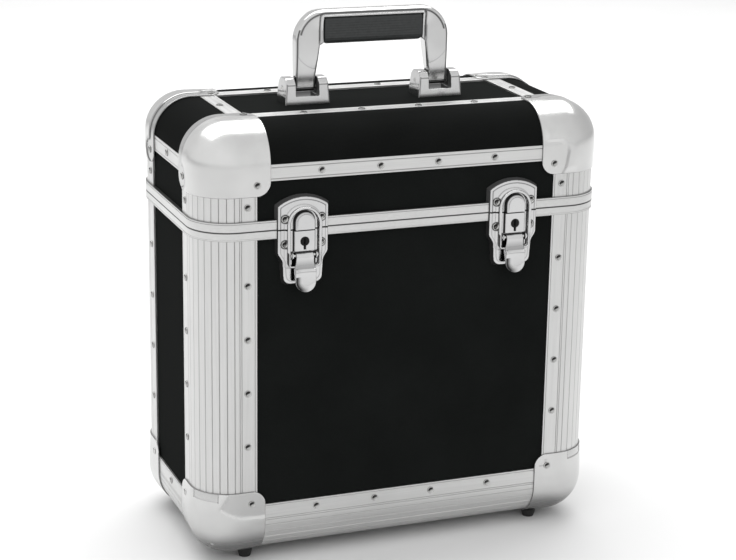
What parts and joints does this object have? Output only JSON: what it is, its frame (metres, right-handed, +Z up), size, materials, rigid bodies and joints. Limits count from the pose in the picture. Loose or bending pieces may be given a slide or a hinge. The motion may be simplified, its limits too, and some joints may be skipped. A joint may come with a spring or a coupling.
{
  "type": "record carrying case",
  "caption": "Rounded upright carrying case for records: black boards in ribbed aluminium extrusions, ball corners, hinged lid with locking bail latches and a folding top handle.",
  "frame": {"origin": "on the floor under the middle of the case, at the height of the rubber feet's soles", "axes": "+X to the case's right as seen from the latch side, +Y towards the hinges, +Z up"},
  "size_m": [0.3648, 0.2089, 0.457],
  "materials": {
    "laminated_board": "matte black laminate on board",
    "aluminium_extrusion": "satin anodised",
    "pressed_steel_cap": "satin plated",
    "edge_laminate": "matte black",
    "steel_rivet": "plated",
    "foot_rubber": "matte",
    "steel_pin": "plated",
    "foam_lining": "soft foam",
    "hinge_steel": "nickel plated",
    "lock_steel": "dark plated",
    "latch_chrome": "polished",
    "handle_chrome": "satin chrome",
    "handle_grip": "ribbed soft plastic"
  },
  "bodies": {
    "base": {"base_front_panel": "laminated_board", "base_back_panel": "laminated_board", "base_left_panel": "laminated_board", "base_right_panel": "laminated_board", "base_floor_panel": "laminated_board", "corner_profile_front_left": "aluminium_extrusion", "corner_profile_front_right": "aluminium_extrusion", "corner_profile_back_left": "aluminium_extrusion", "corner_profile_back_right": "aluminium_extrusion", "base_corner_cap_front_left": "pressed_steel_cap", "base_corner_cap_front_right": "pressed_steel_cap", "base_corner_cap_back_left": "pressed_steel_cap", "base_corner_cap_back_right": "pressed_steel_cap", "bottom_edge_profile_front": "aluminium_extrusion", "bottom_edge_profile_back": "aluminium_extrusion", "bottom_edge_profile_left": "aluminium_extrusion", "bottom_edge_profile_right": "aluminium_extrusion", "base_rim": "aluminium_extrusion", "base_rivets": "steel_rivet", "rubber_feet": "foot_rubber", "foot_screws": "steel_pin", "base_lining": "foam_lining", "floor_pad": "foam_lining", "latch_base_plate_left": "latch_chrome", "latch_base_plate_right": "latch_chrome", "latch_lever_pins": "steel_pin", "hinge_base_leaves": "hinge_steel", "hinge_pins": "steel_pin"},
    "lid": {"lid_front_panel": "laminated_board", "lid_back_panel": "laminated_board", "lid_left_panel": "laminated_board", "lid_right_panel": "laminated_board", "lid_top_panel": "laminated_board", "lid_corner_profiles": "aluminium_extrusion", "lid_corner_cap_front_left": "pressed_steel_cap", "lid_corner_cap_front_right": "pressed_steel_cap", "lid_corner_cap_back_left": "pressed_steel_cap", "lid_corner_cap_back_right": "pressed_steel_cap", "lid_edge_profile_front": "aluminium_extrusion", "lid_edge_profile_back": "aluminium_extrusion", "lid_edge_profile_left": "aluminium_extrusion", "lid_edge_profile_right": "aluminium_extrusion", "lid_edge_strips": "edge_laminate", "lid_rim": "aluminium_extrusion", "lid_rivets": "steel_rivet", "lid_lining": "foam_lining", "latch_keeper_left": "latch_chrome", "latch_keeper_right": "latch_chrome", "hinge_lid_leaves": "hinge_steel", "handle_bracket_left": "handle_chrome", "handle_bracket_right": "handle_chrome", "handle_pins": "steel_pin"},
    "handle": {"handle_frame": "handle_chrome", "handle_grip": "handle_grip"},
    "lever_left": {"latch_lever_left": "latch_chrome"},
    "bail_left": {"latch_bail_left": "latch_chrome"},
    "lock_plug_left": {"lock_plug_left": "lock_steel"},
    "lever_right": {"latch_lever_right": "latch_chrome"},
    "bail_right": {"latch_bail_right": "latch_chrome"},
    "lock_plug_right": {"lock_plug_right": "lock_steel"}
  },
  "joints": [
    {"name": "lid_hinge", "type": "hinge", "parent": "base", "child": "lid", "pos_m": [0, 0.099, 0.2946], "axis": [-1, 0, 0], "range_deg": [0, 100]},
    {"name": "handle_swing", "type": "hinge", "parent": "lid", "child": "handle", "pos_m": [0, 0, 0.391], "axis": [1, 0, 0], "range_deg": [-80, 80]},
    {"name": "lever_left_turn", "type": "hinge", "parent": "base", "child": "lever_left", "pos_m": [-0.0935, -0.1004, 0.2732], "axis": [-1, 0, 0], "range_deg": [0, 100]},
    {"name": "bail_left_turn", "type": "hinge", "parent": "lever_left", "child": "bail_left", "pos_m": [-0.0935, -0.1016, 0.2642], "axis": [-1, 0, 0], "range_deg": [-112, 0]},
    {"name": "lock_left_turn", "type": "hinge", "parent": "base", "child": "lock_plug_left", "pos_m": [-0.0935, -0.0998, 0.2852], "axis": [0, 1, 0], "range_deg": [0, 90]},
    {"name": "lever_right_turn", "type": "hinge", "parent": "base", "child": "lever_right", "pos_m": [0.0935, -0.1004, 0.2732], "axis": [-1, 0, 0], "range_deg": [0, 100]},
    {"name": "bail_right_turn", "type": "hinge", "parent": "lever_right", "child": "bail_right", "pos_m": [0.0935, -0.1016, 0.2642], "axis": [-1, 0, 0], "range_deg": [-112, 0]},
    {"name": "lock_right_turn", "type": "hinge", "parent": "base", "child": "lock_plug_right", "pos_m": [0.0935, -0.0998, 0.2852], "axis": [0, 1, 0], "range_deg": [0, 90]}
  ],
  "couplings": [
    {"joint": "bail_left_turn", "follows": "lever_left_turn", "ratio": -1.12},
    {"joint": "bail_right_turn", "follows": "lever_right_turn", "ratio": -1.12}
  ]
}
